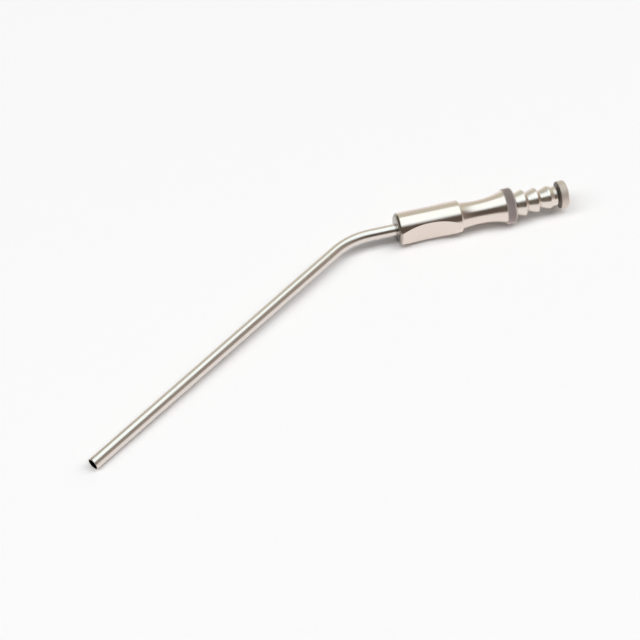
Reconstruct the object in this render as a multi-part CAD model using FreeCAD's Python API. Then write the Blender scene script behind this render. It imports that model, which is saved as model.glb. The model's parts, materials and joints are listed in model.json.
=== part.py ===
import FreeCAD, Part

# Frazier suction tube, 12 French, with its stylet pushed home.
#
# A bent steel tube is soldered into the nose of a turned handle. The handle has a finger scallop on
# each side, a vent hole in the thumb's one, a waist and a flare. A hose nozzle with a knurled collar
# and three ridges closes the rear, and the stylet's round head stands behind it, on a springy wire
# that runs through everything to just short of the mouth.
#
# Own frame of the pieces, in millimetres: the handle's axis is X with the nose face at X = 0 and the
# hose end at +X. The tube bends towards -Y in the plane Z = 0. At the end everything is laid down as it
# rests on a table: nose edge, collar and tube mouth touch Z = 0, and the origin is under the middle.

import math
import os

from FreeCAD import Placement, Rotation, Vector

# Tube
tube_diameter = 4.0            # 12 French
tube_wall = 0.3
working_length = 110.0         # straight leg, from the bend to the mouth
bend_angle = 33.0              # degrees
bend_radius = 23.5             # of the centreline
rear_leg = 9.0                 # from the bend to the nose of the handle
mouth_break = 0.12             # both edges of the mouth

# Handle
grip_diameter = 10.9
grip_length = 21.7             # nose face to the step
nose_chamfer_length = 1.0
nose_chamfer_height = 1.4
step_height = 0.85             # from the grip down to the start of the waist
step_break = 0.25              # broken edge of the step
waist_diameter = 8.1           # at its thinnest
waist_place = 28.1             # nose face to the thinnest place
flare_diameter = 10.9
handle_length = 36.9

# Finger scallops and the vent
scallop_radius = 31.5          # along the handle
scallop_depth = 1.85
scallop_place = 10.4           # nose face to the deepest place
vent_diameter = 2.4
vent_countersink = 0.3
vent_land = 1.2                # from the tube's end in its socket to the edge of the vent

# Hose nozzle
collar_diameter = 11.9
collar_width = 3.3
collar_front_break = 0.2
collar_rear_break = 0.5
spigot_diameter = 5.2
spigot_length = 8.0
spigot_end_gap = 0.2           # left free at the bottom of the handle's rear socket
neck_diameter = 7.0
neck_length = 0.4
ridge_count = 3
ridge_rise = 2.7               # length of the slope up to the crest
ridge_land = 0.55              # narrow flat of the crest
ridge_fall = 1.15              # length of the slope down behind it
crest_diameter = 8.9           # of the first ridge
crest_taper = 0.55             # each crest is this much smaller than the one before
dip_taper = 0.6                # and each dip is this much smaller than the neck or dip before
last_fall = 1.3                # the last ridge falls more gently
end_diameter = 6.7
end_length = 1.3
end_break = 0.2

# Stylet
wire_diameter = 0.8
wire_setback = 8.0             # the wire ends this far inside the mouth
wire_hold = 5.0                # length of wire held in the head
head_diameter = 9.2
head_thickness = 2.8
head_front_break = 0.2
head_rear_rounding = 0.7
rounding_steps = 3             # narrow slopes that the rounding is cut in
shoulder_diameter = 4.8
shoulder_height = 0.7          # between the nozzle's end and the head
plug_length = 4.0
plug_lead = 0.4                # chamfer that leads the plug in

# Clearances
solder_gap = 0.05              # round a piece that is soldered in its socket
plug_clearance = 0.08          # round the stylet's plug in the bore of the nozzle

# Sizes that follow from those above
tube_radius = tube_diameter / 2
bore_radius = tube_radius - tube_wall
grip_radius = grip_diameter / 2
waist_radius = waist_diameter / 2
collar_radius = collar_diameter / 2
wire_radius = wire_diameter / 2
socket_depth = scallop_place - vent_diameter / 2 - vent_land
collar_end = handle_length + collar_width
ridge_pitch = ridge_rise + ridge_land + ridge_fall
crest_end = collar_end + neck_length + (ridge_count - 1) * ridge_pitch + ridge_rise + ridge_land
nozzle_end = crest_end + last_fall + end_length
head_front = nozzle_end + shoulder_height
head_rear = head_front + head_thickness
wire_start = nozzle_end - plug_length + wire_hold
bend = math.radians(bend_angle)

handle_axis = Vector(1, 0, 0)
leg_direction = Vector(-math.cos(bend), -math.sin(bend), 0)
bend_start = Vector(-rear_leg, 0, 0)
bend_end = bend_start + bend_radius * Vector(-math.sin(bend), math.cos(bend) - 1, 0)
mouth = bend_end + leg_direction * working_length


def line(start, end):
    """A straight edge of an outline between two (x, radius) points."""
    return Part.LineSegment(Vector(*start, 0), Vector(*end, 0)).toShape()


def lines(points):
    """Straight edges through (x, radius) points."""
    return [line(a, b) for a, b in zip(points, points[1:])]


def waist_curve(start, thinnest, end):
    """A smooth curve through three (x, radius) points, level at the thinnest."""
    curve = Part.BSplineCurve()
    points = [Vector(*point, 0) for point in (start, thinnest, end)]
    curve.interpolate(Points=points, Tangents=[handle_axis] * 3, TangentFlags=[False, True, False])
    return curve.toShape()


def turned(edges):
    """The solid that an outline of edges makes when it turns about the handle's axis."""
    return Part.Face(Part.Wire(edges)).revolve(Vector(0, 0, 0), handle_axis, 360)


def bent_rod(radius, start, end):
    """A round bar of the tube's route, from a point on the handle's axis to one on the straight leg."""
    bend_middle = bend_start + bend_radius * Vector(-math.sin(bend / 2), math.cos(bend / 2) - 1, 0)
    route = Part.Wire([
        Part.LineSegment(start, bend_start).toShape(),
        Part.Arc(bend_start, bend_middle, bend_end).toShape(),
        Part.LineSegment(bend_end, end).toShape(),
    ])
    section = Part.Wire(Part.makeCircle(radius, start, handle_axis))
    return route.makePipeShell([section], True, False)


def edges_round(shape, centre):
    """The round edges of a shape whose centre is the given point."""
    return [e for e in shape.Edges
            if isinstance(e.Curve, Part.Circle) and e.Curve.Center.distanceToPoint(centre) < 1e-4]


def suction_tube():
    """The bent tube, from its socket in the handle to the mouth with its broken edges."""
    start = Vector(socket_depth, 0, 0)
    tube = bent_rod(tube_radius, start, mouth).cut(bent_rod(bore_radius, start, mouth))
    return tube.makeChamfer(mouth_break, edges_round(tube, mouth))


def handle_blank():
    """The handle as it comes off the lathe: chamfered nose, grip, step, waist, flare and its bores."""
    tube_socket = tube_radius + solder_gap
    rear_socket = spigot_diameter / 2 + solder_gap
    rear_socket_bottom = handle_length - spigot_length
    waist_start = (grip_length, grip_radius - step_height)
    waist = (waist_place, waist_radius)
    flare_end = (handle_length, flare_diameter / 2)
    outside = lines([
        (0, tube_socket),
        (0, grip_radius - nose_chamfer_height),
        (nose_chamfer_length, grip_radius),
        (grip_length - step_break, grip_radius),
        (grip_length, grip_radius - step_break),
        waist_start,
    ])
    inside = lines([
        flare_end,
        (handle_length, rear_socket),
        (rear_socket_bottom, rear_socket),
        (rear_socket_bottom, bore_radius),
        (socket_depth, bore_radius),
        (socket_depth, tube_socket),
        (0, tube_socket),
    ])
    return turned(outside + [waist_curve(waist_start, waist, flare_end)] + inside)


def scallop_cutter(side):
    """The disc-shaped cutter of one scallop, on the +Y side (1) or the -Y side (-1)."""
    reach = grip_radius - scallop_depth + scallop_radius
    centre = Vector(scallop_place, side * reach, -grip_diameter)
    return Part.makeCylinder(scallop_radius, 2 * grip_diameter, centre, Vector(0, 0, 1))


def vent_cutter():
    """The drill and countersink of the vent, from the bore out through the thumb's scallop."""
    surface = grip_radius - scallop_depth
    vent_radius = vent_diameter / 2
    outwards = Vector(0, 1, 0)
    drill = Part.makeCylinder(vent_radius, grip_radius, Vector(scallop_place, 0, 0), outwards)
    sink_start = Vector(scallop_place, surface - vent_countersink, 0)
    sink = Part.makeCone(vent_radius, vent_radius + 2 * vent_countersink, 2 * vent_countersink,
                         sink_start, outwards)
    return drill.fuse(sink)


def handle():
    """The finished handle, with a scallop on both sides and the vent in the thumb's one."""
    return handle_blank().cut([scallop_cutter(1), scallop_cutter(-1), vent_cutter()])


def ridge_points():
    """The outline of the nozzle's ridges, from the neck to the last crest."""
    ridges_start = collar_end + neck_length
    points = [(ridges_start, neck_diameter / 2)]
    for ridge in range(ridge_count):
        crest = ridges_start + ridge * ridge_pitch + ridge_rise
        crest_radius = (crest_diameter - ridge * crest_taper) / 2
        points += [(crest, crest_radius), (crest + ridge_land, crest_radius)]
        if ridge < ridge_count - 1:
            dip_radius = (neck_diameter - (ridge + 1) * dip_taper) / 2
            points.append((crest + ridge_land + ridge_fall, dip_radius))
    return points


def hose_nozzle():
    """The nozzle: spigot, collar, neck, ridges and plain end, bored through."""
    spigot_start = handle_length - spigot_length + spigot_end_gap
    end_radius = end_diameter / 2
    outline = [
        (spigot_start, bore_radius),
        (spigot_start, spigot_diameter / 2),
        (handle_length, spigot_diameter / 2),
        (handle_length, collar_radius - collar_front_break),
        (handle_length + collar_front_break, collar_radius),
        (collar_end - collar_rear_break, collar_radius),
        (collar_end, collar_radius - collar_rear_break),
        (collar_end, neck_diameter / 2),
    ]
    outline += ridge_points()
    outline += [
        (nozzle_end - end_length, end_radius),
        (nozzle_end - end_break, end_radius),
        (nozzle_end, end_radius - end_break),
        (nozzle_end, bore_radius),
        (spigot_start, bore_radius),
    ]
    return turned(lines(outline))


def rounded_edge():
    """The outline of the head's rounded rear edge, as narrow slopes."""
    points = []
    for step in range(rounding_steps + 1):
        turn = math.pi / 2 * step / rounding_steps
        points.append((head_rear - head_rear_rounding * (1 - math.sin(turn)),
                       head_diameter / 2 - head_rear_rounding * (1 - math.cos(turn))))
    return points


def stylet_head():
    """The stylet's round head with its shoulder, and the plug that holds the wire."""
    head_radius = head_diameter / 2
    plug_radius = bore_radius - plug_clearance
    plug_front = nozzle_end - plug_length
    wire_socket = wire_radius + solder_gap
    front = [
        (wire_start, 0),
        (wire_start, wire_socket),
        (plug_front, wire_socket),
        (plug_front, plug_radius - plug_lead),
        (plug_front + plug_lead, plug_radius),
        (nozzle_end, plug_radius),
        (nozzle_end, shoulder_diameter / 2),
        (head_front, shoulder_diameter / 2),
        (head_front, head_radius - head_front_break),
        (head_front + head_front_break, head_radius),
    ]
    return turned(lines(front + rounded_edge() + [(head_rear, 0), (wire_start, 0)]))


def stylet_wire():
    """The springy wire, from its hole in the head to its end inside the tube."""
    return bent_rod(wire_radius, Vector(wire_start, 0, 0), mouth - leg_direction * wire_setback)


def table_turn():
    """The turn that lays the instrument down: the collar lifts the rear, and the mouth touches."""
    nose_edge = nose_chamfer_length
    collar_edge = handle_length + collar_front_break
    pitch = math.atan2(collar_radius - grip_radius, collar_edge - nose_edge)
    axis_height = grip_radius * math.cos(pitch) - nose_edge * math.sin(pitch)
    drop = axis_height + mouth.x * math.sin(pitch) - tube_radius
    roll = math.asin(drop / (-mouth.y * math.cos(pitch)))
    rear_up = Rotation(Vector(0, 1, 0), -math.degrees(pitch))
    side_down = Rotation(Vector(1, 0, 0), math.degrees(roll))
    return rear_up.multiply(side_down)


def lay_down(pieces):
    """Turns the pieces as they rest and puts the origin on the table, under the middle of them all."""
    turn = table_turn()
    for piece in pieces.values():
        piece.Placement = Placement(Vector(0, 0, 0), turn)
    box = Part.makeCompound(list(pieces.values())).optimalBoundingBox(False, False)
    middle = Vector(box.Center.x, box.Center.y, box.ZMin)
    for piece in pieces.values():
        piece.translate(-middle)
    return Placement(-middle, turn)


def main():
    pieces = {
        "suction_tube": suction_tube(),
        "handle": handle(),
        "hose_nozzle": hose_nozzle(),
        "stylet_head": stylet_head(),
        "stylet_wire": stylet_wire(),
    }
    laid = lay_down(pieces)
    os.makedirs("parts", exist_ok=True)
    for name, shape in pieces.items():
        shape.exportStep(f"parts/{name}.step")
        print(name, "valid", shape.isValid(), "solids", len(shape.Solids), "volume", round(shape.Volume, 2))
    for name, place in (("mouth", mouth), ("bend end", bend_end), ("nose", Vector(0, 0, 0)),
                        ("nozzle end", Vector(nozzle_end, 0, 0)), ("head rear", Vector(head_rear, 0, 0))):
        print(name, [round(v, 4) for v in laid.multVec(place)])
    print("handle axis", [round(v, 6) for v in laid.Rotation.multVec(handle_axis)])
    print("leg direction", [round(v, 6) for v in laid.Rotation.multVec(leg_direction)])


main()
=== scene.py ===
import json
import math

import bmesh
import bpy
from mathutils import Matrix, Vector


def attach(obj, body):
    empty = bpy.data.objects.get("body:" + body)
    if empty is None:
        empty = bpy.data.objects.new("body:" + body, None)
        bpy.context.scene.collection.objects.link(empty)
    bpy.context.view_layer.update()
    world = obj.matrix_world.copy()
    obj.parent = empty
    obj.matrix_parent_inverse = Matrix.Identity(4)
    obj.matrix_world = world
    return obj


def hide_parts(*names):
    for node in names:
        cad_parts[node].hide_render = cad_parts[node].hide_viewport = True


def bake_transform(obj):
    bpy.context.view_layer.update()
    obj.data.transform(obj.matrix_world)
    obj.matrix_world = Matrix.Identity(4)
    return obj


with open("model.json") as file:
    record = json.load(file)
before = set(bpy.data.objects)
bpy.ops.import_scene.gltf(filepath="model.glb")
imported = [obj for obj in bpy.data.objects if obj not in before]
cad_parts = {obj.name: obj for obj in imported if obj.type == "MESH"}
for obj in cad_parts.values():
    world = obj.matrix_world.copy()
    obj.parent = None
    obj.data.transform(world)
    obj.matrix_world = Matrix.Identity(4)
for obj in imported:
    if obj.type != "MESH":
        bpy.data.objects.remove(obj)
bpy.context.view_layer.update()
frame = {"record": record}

# A bent suction tube with a turned handle, laid on a pale table.
#
# Every piece is modelled in millimetres in the instrument's own frame, where the handle's axis is X,
# the nose face is at X = 0 and the tube bends towards -Y. At the end its mesh is put where the frame's
# mounts say that the instrument lies.

MM = 0.001
FULL_TURN = 2 * math.pi
QUARTER_TURN = math.pi / 2

# Handle
grip_radius = 5.45
grip_length = 21.7
nose_chamfer_length = 1.0
nose_chamfer_height = 1.4
nose_crown = math.radians(84)  # how far the polished chamfer turns from its start to its end
nose_painted_shade_end = 1.2            # where the nose's painted shade has gone, in lengths of its chamfer
step_height = 0.85
step_rounding = 0.45
waist_radius = 4.05
waist_place = 28.1
flare_radius = 5.45
handle_length = 36.9
tube_socket_depth = 8.0
rear_socket_depth = 8.0
socket_gap = 0.05

# Finger scallops and the vent
scallop_radius = 31.5
scallop_depth = 1.85
scallop_place = 10.4
scallop_edge = 0.34            # width over which the scallop's edge is rounded by polishing
scallop_lean = 0.1             # sideways share of a point's radius, below which no scallop reaches it
vent_radius = 1.2
vent_countersink = 0.3
drill_height = 0.9             # how far the vent's tool stands out of the scallop
drill_point = 0.425            # how far from the axis it stops, inside the bore

# Tube
tube_wall = 0.3
mouth_rounding = 0.15
mouth_finish = 0.03            # taken off the mouth when its edges are rounded
mouth_support = 4              # the last ring of the plain wall, in roundings behind the mouth

# Hose nozzle
collar_radius = 5.95
collar_width = 3.3
collar_front_break = 0.2
collar_rear_break = 0.5
spigot_radius = 2.6
spigot_length = 7.8
neck_radius = 3.5
neck_length = 0.4
ridge_count = 3
ridge_rise = 2.7
ridge_land = 0.55
ridge_fall = 1.15
crest_radius = 4.45            # of the first ridge
crest_taper = 0.275            # each crest is this much lower than the one before
dip_taper = 0.3                # and each dip is this much lower than the neck or dip before
last_fall = 1.3
end_radius = 3.35
end_length = 1.3
end_break = 0.2

# Knurl of the collar
diamonds_round = 42
diamonds_along = 3
knurl_depth = 0.25

# Stylet
wire_radius = 0.4
wire_setback = 8.0
wire_hold = 5.0
wire_tip_break = 0.1
head_radius = 4.6
head_thickness = 2.8
head_front_break = 0.2
head_rear_rounding = 0.7
head_shade_depth = 0.05        # how far round its front edge the head's painted shade reaches
shoulder_radius = 2.4
shoulder_height = 0.7
plug_length = 4.0
plug_clearance = 0.08
plug_lead = 0.4

# Broken edges
sharp_edge = math.radians(20)  # the least turn at an edge that is broken
edge_break = 0.07              # on the handle and the nozzle
head_edge_break = 0.06
crease = math.radians(35)      # the least turn at an edge that stays sharp in shade

# Steps of the round forms
handle_segments = 320
head_segments = 128
tube_segments = 72
wire_segments = 24
vent_segments = 64
bend_steps = 26
grip_rings = 144
waist_rings = 22
nose_steps = 8
step_rounding_steps = 6
head_rounding_steps = 8
lip_steps = 4
break_steps = 3

# Margins for telling points apart
same_point = 1e-4              # points closer than this become one
on_surface = 1e-3
knurl_margin = 0.02
margin = 0.1

# Sizes that follow from those above
collar_end = handle_length + collar_width
ridge_pitch = ridge_rise + ridge_land + ridge_fall
crest_end = collar_end + neck_length + (ridge_count - 1) * ridge_pitch + ridge_rise + ridge_land
nozzle_end = crest_end + last_fall + end_length
plug_front = nozzle_end - plug_length
wire_start = plug_front + wire_hold
head_front = nozzle_end + shoulder_height
head_rear = head_front + head_thickness

# The instrument's own frame, from its two mounts
mounts = {mount["name"]: mount for mount in frame["record"]["mounts"]}
shaft = mounts["working_shaft"]
nozzle_middle = mounts["hose_nozzle_ridges"]
handle_axis = Vector(nozzle_middle["axis"]).normalized()
leg_direction = Vector(shaft["axis"]).normalized()
side = -(leg_direction - handle_axis * leg_direction.dot(handle_axis)).normalized()
nose = Vector(nozzle_middle["pos_m"]) - handle_axis * nozzle_end * MM
place = Matrix.Translation(nose) @ Matrix((handle_axis, side, handle_axis.cross(side))).transposed().to_4x4()

# The tube's width and route, from the frame too
tube_radius = shaft["dims"]["r_mm"]
bore_radius = tube_radius - tube_wall
working_length = shaft["dims"]["length_mm"]
bend_angle = leg_direction.angle(-handle_axis)
bend_end = (place.inverted() @ Vector(shaft["pos_m"])) / MM
bend_end += Vector((math.cos(bend_angle), math.sin(bend_angle), 0)) * working_length / 2
bend_radius = -bend_end.y / (1 - math.cos(bend_angle))
rear_leg = -bend_end.x - bend_radius * math.sin(bend_angle)
tube_reach = rear_leg + bend_radius * bend_angle + working_length


def stations(start, end, count):
    """Evenly spaced places from start to end, both included."""
    return [start + (end - start) * step / count for step in range(count + 1)]


def lathe(outline, segments, closed=False):
    """A turned blank: a line of (x, radius) points spun about the X axis."""
    bm = bmesh.new()
    points = [bm.verts.new((x, radius, 0)) for x, radius in outline]
    pairs = list(zip(points, points[1:]))
    if closed:
        pairs.append((points[-1], points[0]))
    lines = [bm.edges.new(pair) for pair in pairs]
    bmesh.ops.spin(bm, geom=points + lines, cent=(0, 0, 0), axis=(1, 0, 0), angle=FULL_TURN,
                   steps=segments, use_merge=True)
    bmesh.ops.remove_doubles(bm, verts=bm.verts, dist=same_point)
    bmesh.ops.recalc_face_normals(bm, faces=bm.faces)
    return bm


def break_edges(bm, width, where):
    """Rounds the sharp edges of a turned piece, as a file or a polishing wheel leaves them."""
    sharp = [edge for edge in bm.edges
             if edge.calc_face_angle(0) > sharp_edge and where((edge.verts[0].co + edge.verts[1].co) / 2)]
    bmesh.ops.bevel(bm, geom=sharp, offset=width, offset_type="OFFSET", segments=break_steps, profile=0.5,
                    affect="EDGES", clamp_overlap=True, material=-1)


def quarter_round(corner_x, corner_radius, rounding, steps):
    """Points of a rounded outer corner of an outline, from the side into the end face."""
    return [(corner_x - rounding * (1 - math.sin(turn)), corner_radius - rounding * (1 - math.cos(turn)))
            for turn in stations(0, QUARTER_TURN, steps)]


def linked(name, data):
    """An object that holds the data, linked to the scene."""
    thing = bpy.data.objects.new(name, data)
    bpy.context.scene.collection.objects.link(thing)
    return thing


def mesh_object(name, bm, material):
    """An object with the finished mesh in one material."""
    mesh = bpy.data.meshes.new(name)
    bm.to_mesh(mesh)
    bm.free()
    mesh.materials.append(material)
    return linked(name, mesh)


def piece_from(bm, name, material, flat_faces=()):
    """Puts a modelled piece where the instrument lies and gives it its material."""
    for face in bm.faces:
        face.smooth = True
    for face in flat_faces:
        face.smooth = False
    bm.transform(place @ Matrix.Scale(MM, 4))
    piece = mesh_object(name, bm, material)
    return piece


def weigh_normals(piece):
    """Keeps wide faces flat in shade beside the narrow faces of a rounded edge."""
    weighted = piece.modifiers.new("even_shade", "WEIGHTED_NORMAL")
    weighted.weight = 100
    weighted.keep_sharp = True
    return piece


def bend_over_former(bm):
    """Bends a straight tube or wire that lies along the axis, as a former does, about its bend centre."""
    centre = Vector((-rear_leg, -bend_radius, 0))
    for vert in bm.verts:
        past = -rear_leg - vert.co.x
        if past <= 0:
            continue
        turn = min(past / bend_radius, bend_angle)
        outwards = Vector((-math.sin(turn), math.cos(turn), 0))
        onwards = Vector((-math.cos(turn), -math.sin(turn), 0))
        straight = past - turn * bend_radius
        height = Vector((0, 0, vert.co.z))
        vert.co = centre + outwards * (bend_radius + vert.co.y) + onwards * straight + height


def bend_stations():
    """Places along a straight tube or wire where it needs a ring, because it will be bent there."""
    bend_length = bend_radius * bend_angle
    return stations(-rear_leg, -rear_leg - bend_length, bend_steps)


def build_tube(material):
    """The bent tube, from its socket in the handle to its rounded mouth."""
    mouth = -tube_reach + mouth_finish
    support = mouth + mouth_support * mouth_rounding
    lip = [(mouth + mouth_rounding * (1 - math.cos(turn)), mouth_rounding * (1 - math.sin(turn)))
           for turn in stations(0, QUARTER_TURN, lip_steps)]
    outline = [(x, tube_radius) for x in [tube_socket_depth] + bend_stations() + [support]]
    outline += [(x, tube_radius - drop) for x, drop in lip[::-1]]
    outline += [(x, bore_radius + drop) for x, drop in lip]
    outline += [(x, bore_radius) for x in [support] + bend_stations()[::-1] + [tube_socket_depth]]
    bm = lathe(outline, tube_segments, closed=True)
    # Painted shade: the bore's colour is darkened to stand for the shade inside the tube.
    in_bore = bm.verts.layers.float.new("in_bore")
    for vert in bm.verts:
        vert[in_bore] = vert.co.yz.length < bore_radius + mouth_rounding
    bend_over_former(bm)
    return weigh_normals(piece_from(bm, "bent_tube", material))


def waist_height(x):
    """The radius of the waist, which rises evenly to both sides of its thinnest place."""
    if x < waist_place:
        share = (waist_place - x) / (waist_place - grip_length)
        return waist_radius + (grip_radius - step_height - waist_radius) * share ** 2
    share = (x - waist_place) / (handle_length - waist_place)
    return waist_radius + (flare_radius - waist_radius) * share ** 2


def scallop_floor(x):
    """The height of the scallops' ground surface above the axis."""
    reach = grip_radius - scallop_depth + scallop_radius
    return reach - math.sqrt(scallop_radius ** 2 - (x - scallop_place) ** 2)


def lower_of(a, b, rounding):
    """The lower of two heights, rounded where they meet."""
    near = max(rounding - abs(a - b), 0)
    return min(a, b) - near ** 2 / (4 * rounding)


def grind_scallops(bm):
    """Grinds a scallop in both sides of the grip, and notes on each point how much was ground away."""
    ground = bm.verts.layers.float.new("ground")
    for vert in bm.verts:
        radius = math.hypot(vert.co.y, vert.co.z)
        lean = abs(vert.co.y) / radius
        if vert.co.x > grip_length or radius < scallop_floor(scallop_place) or lean < scallop_lean:
            continue
        new_radius = lower_of(radius, scallop_floor(vert.co.x) / lean, scallop_edge)
        vert.co.yz *= new_radius / radius
        vert[ground] = min((radius - new_radius) / scallop_edge, 1)


def vent_drill():
    """The drill and countersink of the vent, as one turned tool standing in the thumb's scallop."""
    surface = grip_radius - scallop_depth
    above = surface + drill_height
    bm = lathe([
        (drill_point, 0),
        (drill_point, vent_radius),
        (surface - vent_countersink, vent_radius),
        (surface, vent_radius + vent_countersink),
        (above, vent_radius + vent_countersink + above - surface),
        (above, 0),
    ], vent_segments)
    bm.transform(Matrix.Translation((scallop_place, 0, 0)) @ Matrix.Rotation(QUARTER_TURN, 4, "Z"))
    return bm


def crowned_nose(steps):
    """Points of the nose's chamfer, which polishing has crowned into an arc between its two edges."""
    start = Vector((0, grip_radius - nose_chamfer_height))
    chord = Vector((nose_chamfer_length, nose_chamfer_height))
    radius = chord.length / 2 / math.sin(nose_crown / 2)
    slope = math.atan2(chord.y, chord.x)
    points = []
    for turn in stations(nose_crown / 2, -nose_crown / 2, steps):
        across = radius * (math.cos(turn) - math.cos(nose_crown / 2))
        along = chord.length / 2 - radius * math.sin(turn)
        points.append((start.x + along * math.cos(slope) - across * math.sin(slope),
                       start.y + along * math.sin(slope) + across * math.cos(slope)))
    return points


def handle_outline():
    """The handle's section as a closed line, round its outside and back through its bores."""
    socket = tube_radius + socket_gap
    rear_socket = spigot_radius + socket_gap
    rear_bottom = handle_length - rear_socket_depth
    grip_places = stations(nose_chamfer_length, grip_length - step_rounding, grip_rings)
    outline = [(0, socket)] + crowned_nose(nose_steps)[:-1]
    outline += [(x, grip_radius) for x in grip_places]
    outline += quarter_round(grip_length, grip_radius, step_rounding, step_rounding_steps)[1:]
    outline += [(x, waist_height(x)) for x in stations(grip_length, handle_length, waist_rings)]
    return outline + [
        (handle_length, rear_socket),
        (rear_bottom, rear_socket),
        (rear_bottom, bore_radius),
        (tube_socket_depth, bore_radius),
        (tube_socket_depth, socket),
    ]


def drill_vent(handle, tool):
    """Cuts the tool's shape out of the handle, for good, and takes the tool away."""
    drilled = handle.modifiers.new("vent", "BOOLEAN")
    drilled.object = tool
    drilled.operation = "DIFFERENCE"
    drilled.solver = "EXACT"
    seen = handle.evaluated_get(bpy.context.evaluated_depsgraph_get())
    handle.data = bpy.data.meshes.new_from_object(seen)
    handle.modifiers.clear()
    bpy.data.objects.remove(tool)


def build_handle(material):
    """The turned handle with its scallops and the drilled vent."""
    bm = lathe(handle_outline(), handle_segments, closed=True)
    break_edges(bm, edge_break, lambda middle: middle.yz.length > waist_radius - margin)
    grind_scallops(bm)
    # Painted shade: the nose's colour is darkened to stand for the dark reflections it shows, fading out
    # along the chamfer.
    painted_nose_shade = bm.verts.layers.float.new("painted_nose_shade")
    for vert in bm.verts:
        vert[painted_nose_shade] = min(max(nose_painted_shade_end - vert.co.x / nose_chamfer_length, 0), 1)
    handle = piece_from(bm, "turned_handle", material)
    drill_vent(handle, piece_from(vent_drill(), "vent_drill", material))
    handle.data.set_sharp_from_angle(angle=crease)
    return weigh_normals(handle)


def nozzle_outline():
    """The nozzle's section as a closed line: spigot, collar, neck, ridges, plain end and bore."""
    spigot_start = handle_length - spigot_length
    knurl_start = handle_length + collar_front_break
    knurl_end = collar_end - collar_rear_break
    ridges_start = collar_end + neck_length
    outline = [
        (spigot_start, bore_radius),
        (spigot_start, spigot_radius),
        (handle_length, spigot_radius),
        (handle_length, collar_radius - collar_front_break),
    ]
    outline += [(x, collar_radius) for x in stations(knurl_start, knurl_end, 2 * diamonds_along)]
    outline += [
        (collar_end, collar_radius - collar_rear_break),
        (collar_end, neck_radius),
        (ridges_start, neck_radius),
    ]
    for ridge in range(ridge_count):
        crest = ridges_start + ridge * ridge_pitch + ridge_rise
        height = crest_radius - ridge * crest_taper
        outline += [(crest, height), (crest + ridge_land, height)]
        if ridge < ridge_count - 1:
            outline.append((crest + ridge_land + ridge_fall, neck_radius - (ridge + 1) * dip_taper))
    return outline + [
        (nozzle_end - end_length, end_radius),
        (nozzle_end - end_break, end_radius),
        (nozzle_end, end_radius - end_break),
        (nozzle_end, bore_radius),
    ]


def press_knurl(bm):
    """Presses every other point of the collar's grid into a groove, so that the rest stand as diamonds."""
    row_length = (collar_width - collar_front_break - collar_rear_break) / (2 * diamonds_along)
    knurl = bm.verts.layers.float.new("knurl")
    in_collar = bm.verts.layers.float.new("in_collar")
    low = []
    for vert in bm.verts:
        row = (vert.co.x - handle_length - collar_front_break) / row_length
        if vert.co.yz.length < collar_radius - on_surface or not -margin < row < 2 * diamonds_along + margin:
            continue
        column = math.atan2(vert.co.z, vert.co.y) / FULL_TURN * 2 * diamonds_round
        vert[in_collar] = 1
        if (round(row) + round(column)) % 2:
            low.append(vert)
            vert[knurl] = 1
    bmesh.ops.connect_verts(bm, verts=low)
    for vert in low:
        vert.co.yz *= 1 - knurl_depth / collar_radius


def build_nozzle(material):
    """The hose nozzle with its ridges and knurled collar."""
    bm = lathe(nozzle_outline(), 2 * diamonds_round, closed=True)
    break_edges(bm, edge_break,
                lambda middle: middle.x > collar_end + margin and middle.yz.length > bore_radius + margin)
    press_knurl(bm)
    groove_radius = collar_radius - knurl_depth - knurl_margin
    flats = [face for face in bm.faces
             if handle_length < face.calc_center_median().x < collar_end
             and face.calc_center_median().yz.length > groove_radius]
    return weigh_normals(piece_from(bm, "ridged_nozzle", material, flats))


def build_head(material):
    """The stylet's round head, with the shoulder and the plug in front of it."""
    plug_radius = bore_radius - plug_clearance
    socket = wire_radius + socket_gap
    bm = lathe([
        (wire_start, 0),
        (wire_start, socket),
        (plug_front, socket),
        (plug_front, plug_radius - plug_lead),
        (plug_front + plug_lead, plug_radius),
        (nozzle_end, plug_radius),
        (nozzle_end, shoulder_radius),
        (head_front, shoulder_radius),
        (head_front, head_radius - head_front_break),
        (head_front + head_front_break, head_radius),
        *quarter_round(head_rear, head_radius, head_rear_rounding, head_rounding_steps),
        (head_rear, 0),
    ], head_segments)
    break_edges(bm, head_edge_break,
                lambda middle: middle.x > nozzle_end and middle.yz.length > shoulder_radius)
    # Painted shade: the head's front, the shoulder and the plug are coloured dark to stand for the shade in
    # the gap before the head.
    painted_front_shade = bm.verts.layers.float.new("painted_front_shade")
    for vert in bm.verts:
        vert[painted_front_shade] = vert.co.x < head_front + head_shade_depth
    return weigh_normals(piece_from(bm, "round_head", material))


def build_wire(material):
    """The springy wire, from its hole in the head, through the bend, to its end inside the tube."""
    tip = -tube_reach + wire_setback
    outline = [(wire_start, 0), (wire_start, wire_radius)]
    outline += [(x, wire_radius) for x in bend_stations()]
    outline += [(tip + wire_tip_break, wire_radius), (tip, wire_radius - wire_tip_break), (tip, 0)]
    bm = lathe(outline, wire_segments)
    bend_over_former(bm)
    return weigh_normals(piece_from(bm, "spring_wire", material))


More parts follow.
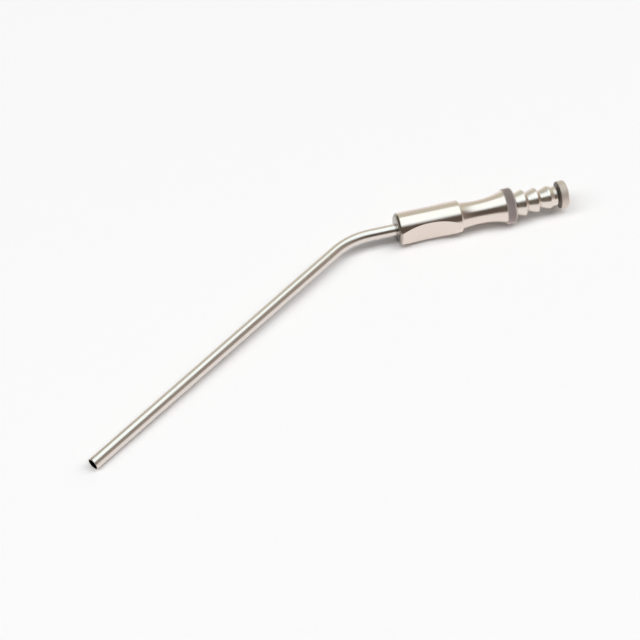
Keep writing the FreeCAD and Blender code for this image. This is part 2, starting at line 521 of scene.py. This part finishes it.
class Net:
    """The nodes of a material, a world or a group, with short ways to add and join them.

    A value that a method takes is a number, a colour or a socket.
    """

    def __init__(self, tree):
        self.tree = tree

    def add(self, kind, **settings):
        """Adds a node with its own settings."""
        node = self.tree.nodes.new(kind)
        for key, value in settings.items():
            setattr(node, key, value)
        return node

    def join(self, source, target):
        """Joins the socket of one node to that of another."""
        self.tree.links.new(source, target)

    def feed(self, socket, value):
        """Sets a socket to a number or a colour, or joins another socket to it."""
        if isinstance(value, (int, float)):
            socket.default_value = value
        elif isinstance(value, tuple):
            socket.default_value = (*value, 1)
        else:
            self.join(value, socket)

    def math(self, operation, *values):
        """Works out one value from others."""
        node = self.add("ShaderNodeMath", operation=operation)
        for socket, value in zip(node.inputs, values):
            self.feed(socket, value)
        return node.outputs[0]

    def step(self, value, start, end):
        """A soft step from 0 at one value to 1 at another."""
        node = self.add("ShaderNodeMapRange", interpolation_type="SMOOTHSTEP")
        self.feed(node.inputs["From Min"], start)
        self.feed(node.inputs["From Max"], end)
        self.feed(node.inputs["Value"], value)
        return node.outputs["Result"]

    def ranged(self, mask, low, high):
        """Turns a mask from 0 to 1 into a number from low to high."""
        node = self.add("ShaderNodeMapRange")
        self.feed(node.inputs["To Min"], low)
        self.feed(node.inputs["To Max"], high)
        self.feed(node.inputs["Value"], mask)
        return node.outputs["Result"]

    def between(self, mask, low, high):
        """Mixes two numbers: low where the mask is 0, high where it is 1."""
        node = self.add("ShaderNodeMix", data_type="FLOAT")
        self.feed(node.inputs["Factor"], mask)
        self.feed(node.inputs["A"], low)
        self.feed(node.inputs["B"], high)
        return node.outputs["Result"]

    def blend(self, mask, low, high):
        """Mixes two colours: low where the mask is 0, high where it is 1."""
        node = self.add("ShaderNodeMix", data_type="RGBA")
        self.feed(node.inputs["Factor"], mask)
        self.feed(node.inputs["A"], low)
        self.feed(node.inputs["B"], high)
        return node.outputs["Result"]

    def split(self, vector):
        """The X, Y and Z of a vector."""
        node = self.add("ShaderNodeSeparateXYZ")
        self.join(vector, node.inputs[0])
        return node.outputs

    def noise(self, vector, scale, **settings):
        """Soft noise from 0 to 1 over the vector."""
        node = self.add("ShaderNodeTexNoise", noise_dimensions="3D")
        self.feed(node.inputs["Vector"], vector)
        self.feed(node.inputs["Scale"], scale)
        for label, value in settings.items():
            node.inputs[label].default_value = value
        return node.outputs["Fac"]


def group(name, inputs, outputs):
    """An empty node group with float, vector or colour sockets, and its input and output nodes."""
    tree = bpy.data.node_groups.new(name, "ShaderNodeTree")
    for label, kind, value in inputs:
        socket = tree.interface.new_socket(label, in_out="INPUT", socket_type=kind)
        if value is not None:
            socket.default_value = value
    for label, kind in outputs:
        tree.interface.new_socket(label, in_out="OUTPUT", socket_type=kind)
    net = Net(tree)
    return net, net.add("NodeGroupInput").outputs, net.add("NodeGroupOutput").inputs


def lathe_lines_group():
    """Turning marks: fine rings round the axis, uneven in depth from place to place."""
    net, given, out = group("lathe_lines", [
        ("Place", "NodeSocketVector", None),
        ("Lines", "NodeSocketFloat", 8.0),
        ("Unevenness", "NodeSocketFloat", 0.5),
    ], [("Height", "NodeSocketFloat")])
    along = net.split(given["Place"])["X"]
    lines = net.add("ShaderNodeTexNoise", noise_dimensions="1D")
    lines.inputs["Scale"].default_value = 1.0
    lines.inputs["Detail"].default_value = 3.0
    net.join(net.math("MULTIPLY", along, given["Lines"]), lines.inputs["W"])
    patches = net.noise(given["Place"], scale=0.35, Detail=2.0)
    least_depth = 0.5
    depth = net.math("MULTIPLY_ADD", patches, given["Unevenness"], least_depth)
    net.join(net.math("MULTIPLY", lines.outputs["Fac"], depth), out["Height"])
    return net.tree


def satin_grain_group():
    """The fine pits and faint cloudiness of a ground or blasted surface."""
    net, given, out = group("satin_grain", [
        ("Place", "NodeSocketVector", None),
        ("Grain", "NodeSocketFloat", 5.0),
        ("Cloud", "NodeSocketFloat", 0.5),
    ], [("Height", "NodeSocketFloat"), ("Shade", "NodeSocketFloat")])
    pits = net.noise(given["Place"], given["Grain"], Detail=3.0, Roughness=0.6)
    clouds = net.noise(given["Place"], given["Cloud"], Detail=4.0)
    net.join(pits, out["Height"])
    net.join(net.math("MULTIPLY", net.math("ADD", pits, clouds), 0.5), out["Shade"])
    return net.tree


def handled_group():
    """Soft smears of handling, as a mask from clean to smeared."""
    net, given, out = group("handled", [
        ("Place", "NodeSocketVector", None),
        ("Size", "NodeSocketFloat", 0.12),
    ], [("Smear", "NodeSocketFloat")])
    smear = net.noise(given["Place"], given["Size"], Detail=5.0, Distortion=0.6)
    net.join(net.step(smear, start=0.35, end=0.7), out["Smear"])
    return net.tree


class Steel(Net):
    """A stainless steel material whose patterns follow the instrument's own frame, in millimetres."""

    groups = {}

    def __init__(self, name, tone):
        self.material = bpy.data.materials.new(name)
        self.material.use_nodes = True
        super().__init__(self.material.node_tree)
        self.surface = self.tree.nodes["Principled BSDF"].inputs
        self.surface["Metallic"].default_value = 1.0
        self.feed(self.surface["Base Color"], tone)
        coordinates = self.add("ShaderNodeTexCoord")
        turn = self.add("ShaderNodeMapping", vector_type="POINT")
        own = Matrix.Scale(1 / MM, 4) @ place.inverted()
        turn.inputs["Location"].default_value = own.translation
        turn.inputs["Rotation"].default_value = place.inverted().to_euler()
        turn.inputs["Scale"].default_value = (1 / MM,) * 3
        self.join(coordinates.outputs["Object"], turn.inputs["Vector"])
        self.place = turn.outputs["Vector"]

    def effect(self, name, **values):
        """Places a shared effect in this material, with its own values."""
        node = self.add("ShaderNodeGroup")
        node.node_tree = Steel.groups[name]
        self.join(self.place, node.inputs["Place"])
        for key, value in values.items():
            node.inputs[key].default_value = value
        return node.outputs

    def attribute(self, name):
        """A mask that the piece's points carry."""
        return self.add("ShaderNodeAttribute", attribute_name=name).outputs["Fac"]

    def tint(self, colour):
        """Gives the surface its colour."""
        self.feed(self.surface["Base Color"], colour)

    def rough(self, value):
        """Gives the surface its roughness."""
        self.feed(self.surface["Roughness"], value)

    def bump(self, height, depth):
        """Raises the surface by a height from 0 to 1, depth millimetres at most."""
        node = self.add("ShaderNodeBump")
        node.inputs["Strength"].default_value = 1.0
        node.inputs["Distance"].default_value = depth * MM
        self.join(height, node.inputs["Height"])
        self.join(node.outputs["Normal"], self.surface["Normal"])


# Tones of the steels
tube_tone = (0.77, 0.70, 0.65)
# painted shade inside the bore
bore_painted_shade_tone = (0.05, 0.045, 0.04)
handle_tone = (0.80, 0.70, 0.635)
# painted shade and reflection on the nose
nose_painted_shade_tone = (0.3, 0.265, 0.23)
nozzle_tone = (0.80, 0.72, 0.66)
diamond_tone = (0.85, 0.75, 0.73)
# painted shade in the knurl's grooves
groove_painted_shade_tone = (0.29, 0.25, 0.255)
head_tone = (0.80, 0.70, 0.635)
# painted shade on the front of the head
head_front_painted_shade_tone = (0.3, 0.26, 0.235)
wire_tone = (0.78, 0.72, 0.67)


def polished_tube_steel():
    """Smooth drawn steel, with painted shade inside the bore."""
    steel = Steel("polished_tube_steel", tube_tone)
    smear = steel.effect("handled", Size=0.09)["Smear"]
    grain = steel.effect("satin_grain", Grain=2.2, Cloud=0.3)
    steel.rough(steel.ranged(smear, low=0.2, high=0.26))
    steel.tint(steel.blend(steel.attribute("in_bore"), tube_tone, bore_painted_shade_tone))
    steel.bump(grain["Height"], depth=0.002)
    return steel.material


def satin_handle_steel():
    """Finely turned steel, satin where the scallops are ground, with painted shade and reflection at the
    nose.
    """
    steel = Steel("satin_handle_steel", handle_tone)
    lines = steel.effect("lathe_lines", Lines=9.0, Unevenness=0.6)
    grain = steel.effect("satin_grain", Grain=4.0, Cloud=0.35)
    smear = steel.effect("handled", Size=0.1)["Smear"]
    ground = steel.attribute("ground")
    turned_rough = steel.ranged(smear, low=0.15, high=0.2)
    ground_rough = steel.ranged(grain["Shade"], low=0.3, high=0.42)
    steel.rough(steel.between(ground, turned_rough, ground_rough))
    steel.tint(steel.blend(steel.attribute("painted_nose_shade"), handle_tone, nose_painted_shade_tone))
    steel.bump(steel.between(ground, lines["Height"], grain["Height"]), depth=0.004)
    return steel.material


def nozzle_steel():
    """Turned steel, with a matte knurl whose grooves carry painted shade."""
    steel = Steel("nozzle_steel", nozzle_tone)
    lines = steel.effect("lathe_lines", Lines=12.0, Unevenness=0.5)
    smear = steel.effect("handled", Size=0.15)["Smear"]
    in_collar = steel.attribute("in_collar")
    # Painted shade: the knurl's grooves are coloured dark to stand for the shade in them.
    grooves = steel.step(steel.attribute("knurl"), start=0.5, end=0.9)
    steel.tint(steel.blend(in_collar, nozzle_tone, steel.blend(grooves, diamond_tone, groove_painted_shade_tone)))
    steel.rough(steel.between(in_collar, low=steel.ranged(smear, low=0.2, high=0.26), high=0.8))
    steel.bump(lines["Height"], depth=0.003)
    return steel.material


def matte_head_steel():
    """Blasted steel, with painted shade on the front that faces the nozzle and on the shoulder and plug
    before it.
    """
    steel = Steel("matte_head_steel", head_tone)
    grain = steel.effect("satin_grain", Grain=5.0, Cloud=0.6)
    steel.rough(steel.ranged(grain["Shade"], low=0.58, high=0.7))
    steel.tint(steel.blend(steel.attribute("painted_front_shade"), head_tone, head_front_painted_shade_tone))
    steel.bump(grain["Height"], depth=0.006)
    return steel.material


def drawn_wire_steel():
    """Bright spring steel with the rings that its drawing leaves."""
    steel = Steel("drawn_wire_steel", wire_tone)
    smear = steel.effect("handled", Size=0.3)["Smear"]
    lines = steel.effect("lathe_lines", Lines=3.0, Unevenness=0.4)
    steel.rough(steel.ranged(smear, low=0.16, high=0.26))
    steel.bump(lines["Height"], depth=0.001)
    return steel.material


# Camera, in metres
camera_aim = Vector((-0.00474, 0.00362, 0))
camera_azimuth = math.radians(-14.96)
camera_elevation = math.radians(51.59)
camera_distance = 0.6548
camera_lens = 114.9
camera_near = 0.01

# Table, lamp and room, in metres
floor_size = 6.0
floor_shade = 0.965
lamp_height = 2.4
lamp_front = math.radians(71)  # elevation of the lamp's front edge, seen from the instrument
lamp_back = math.radians(100)  # and of its rear edge, just behind overhead
lamp_width = 8.0
lamp_glow = 3.2
room_glow = 0.245

# Tent that the steel mirrors, in metres
tent_radius = 2.0
tent_rings = 24
tent_segments = 96
tent_glow = 1.55
pale_tone = (0.58, 0.58, 0.57)        # low cloth
dark_tone = (0.07, 0.056, 0.045)      # front
left_tone = (0.11, 0.1, 0.08)
right_tone = (0.24, 0.21, 0.185)
dull_tone = (0.42, 0.42, 0.36)        # wall behind
bright_tone = (0.82, 0.93, 0.97)      # window in the roof

# Each fade goes from where the other cloth ends to where this one is full
low_cloth_fade = (0.58, 0.06)         # in height
left_fade = (-0.36, -0.84)
right_fade = (0.6, 1.5)
wall_fade = (-0.4, 0.5)

# The window's fades, as slopes seen from the instrument
window_left_fade = (-0.64, -0.5)
window_right_fade = (0.58, 0.36)
window_front_fade = (-0.74, -0.24)
window_back_fade = (0.92, 0.72)
window_slant = 0.45                   # of its left side


def build_floor():
    """The plain pale table."""
    material = bpy.data.materials.new("pale_floor")
    material.use_nodes = True
    surface = material.node_tree.nodes["Principled BSDF"].inputs
    surface["Base Color"].default_value = (floor_shade, floor_shade, floor_shade, 1)
    surface["Roughness"].default_value = 0.9
    surface["Specular IOR Level"].default_value = 0.1
    half = floor_size / 2
    corners = [(-half, -half, 0), (half, -half, 0), (half, half, 0), (-half, half, 0)]
    bm = bmesh.new()
    bm.faces.new([bm.verts.new(corner) for corner in corners])
    mesh_object("table", bm, material)


def tent_cloth():
    """Cloth that only glows: dark in front, dull behind, pale low down, with a bright window in the roof."""
    material = bpy.data.materials.new("tent_cloth")
    material.use_nodes = True
    net = Net(material.node_tree)
    net.tree.nodes.clear()
    x, y, z = net.split(net.add("ShaderNodeTexCoord").outputs["Object"])
    across = net.math("DIVIDE", x, z)
    along = net.math("DIVIDE", y, z)
    slanted = net.math("SUBTRACT", across, net.math("MULTIPLY", along, window_slant))
    width = net.math("MULTIPLY", net.step(slanted, *window_left_fade), net.step(across, *window_right_fade))
    length = net.math("MULTIPLY", net.step(along, *window_front_fade), net.step(along, *window_back_fade))
    tone = net.blend(net.step(x, *right_fade), dark_tone, right_tone)
    tone = net.blend(net.step(y, *wall_fade), tone, dull_tone)
    tone = net.blend(net.step(z, *low_cloth_fade), tone, pale_tone)
    tone = net.blend(net.step(x, *left_fade), tone, left_tone)
    tone = net.blend(net.math("MULTIPLY", width, length), tone, bright_tone)
    glow = net.add("ShaderNodeEmission")
    glow.inputs["Strength"].default_value = tent_glow
    net.join(tone, glow.inputs["Color"])
    net.join(glow.outputs[0], net.add("ShaderNodeOutputMaterial").inputs["Surface"])
    return material


def build_tent():
    """A dome over the table, which only mirrors show."""
    outline = [(tent_radius * math.sin(rise), tent_radius * math.cos(rise))
               for rise in stations(0, QUARTER_TURN, tent_rings)]
    bm = lathe(outline, tent_segments)
    bm.transform(Matrix.Rotation(-QUARTER_TURN, 4, "Y"))
    tent = mesh_object("tent", bm, tent_cloth())
    tent.visible_camera = False
    tent.visible_diffuse = False
    tent.visible_shadow = False


def build_lamp():
    """A wide soft lamp overhead, most of it in front of the instrument, which mirrors don't show."""
    front = -lamp_height / math.tan(lamp_front)
    back = -lamp_height / math.tan(lamp_back)
    lamp = bpy.data.lights.new("softbox", "AREA")
    lamp.shape = "RECTANGLE"
    lamp.size = lamp_width
    lamp.size_y = back - front
    lamp.energy = lamp_glow * math.pi * lamp.size * lamp.size_y
    holder = linked("softbox", lamp)
    holder.location = (0, (back + front) / 2, lamp_height)
    holder.visible_glossy = False


def build_room():
    """A pale room, which is white where it is seen and dimmer as a light."""
    world = bpy.data.worlds.new("room")
    bpy.context.scene.world = world
    world.use_nodes = True
    net = Net(world.node_tree)
    path = net.add("ShaderNodeLightPath")
    seen = net.math("MAXIMUM", path.outputs["Is Camera Ray"], path.outputs["Is Glossy Ray"])
    seen = net.math("MAXIMUM", seen, path.outputs["Is Transmission Ray"])
    background = world.node_tree.nodes["Background"]
    background.inputs["Color"].default_value = (1, 1, 1, 1)
    net.join(net.ranged(seen, low=room_glow, high=1.0), background.inputs["Strength"])


def build_camera():
    """The camera at the photograph's viewing angle, looking down on the table."""
    back = Vector((math.sin(camera_azimuth) * math.cos(camera_elevation),
                   -math.cos(camera_azimuth) * math.cos(camera_elevation),
                   math.sin(camera_elevation)))
    lens = bpy.data.cameras.new("camera")
    lens.lens = camera_lens
    lens.clip_start = camera_near
    camera = linked("camera", lens)
    camera.location = camera_aim + back * camera_distance
    camera.rotation_euler = (-back).to_track_quat("-Z", "Y").to_euler()
    bpy.context.scene.camera = camera


Steel.groups = {
    "lathe_lines": lathe_lines_group(),
    "satin_grain": satin_grain_group(),
    "handled": handled_group(),
}

tube = build_tube(polished_tube_steel())
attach(tube, "instrument")
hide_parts("suction_tube")

handle = build_handle(satin_handle_steel())
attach(handle, "instrument")
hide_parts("handle")

nozzle = build_nozzle(nozzle_steel())
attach(nozzle, "instrument")
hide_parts("hose_nozzle")

head = build_head(matte_head_steel())
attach(head, "stylet")
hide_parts("stylet_head")

wire = build_wire(drawn_wire_steel())
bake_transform(wire)
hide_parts("stylet_wire")

build_floor()
build_tent()
build_lamp()
build_room()
build_camera()
bpy.context.scene.view_settings.view_transform = "Standard"
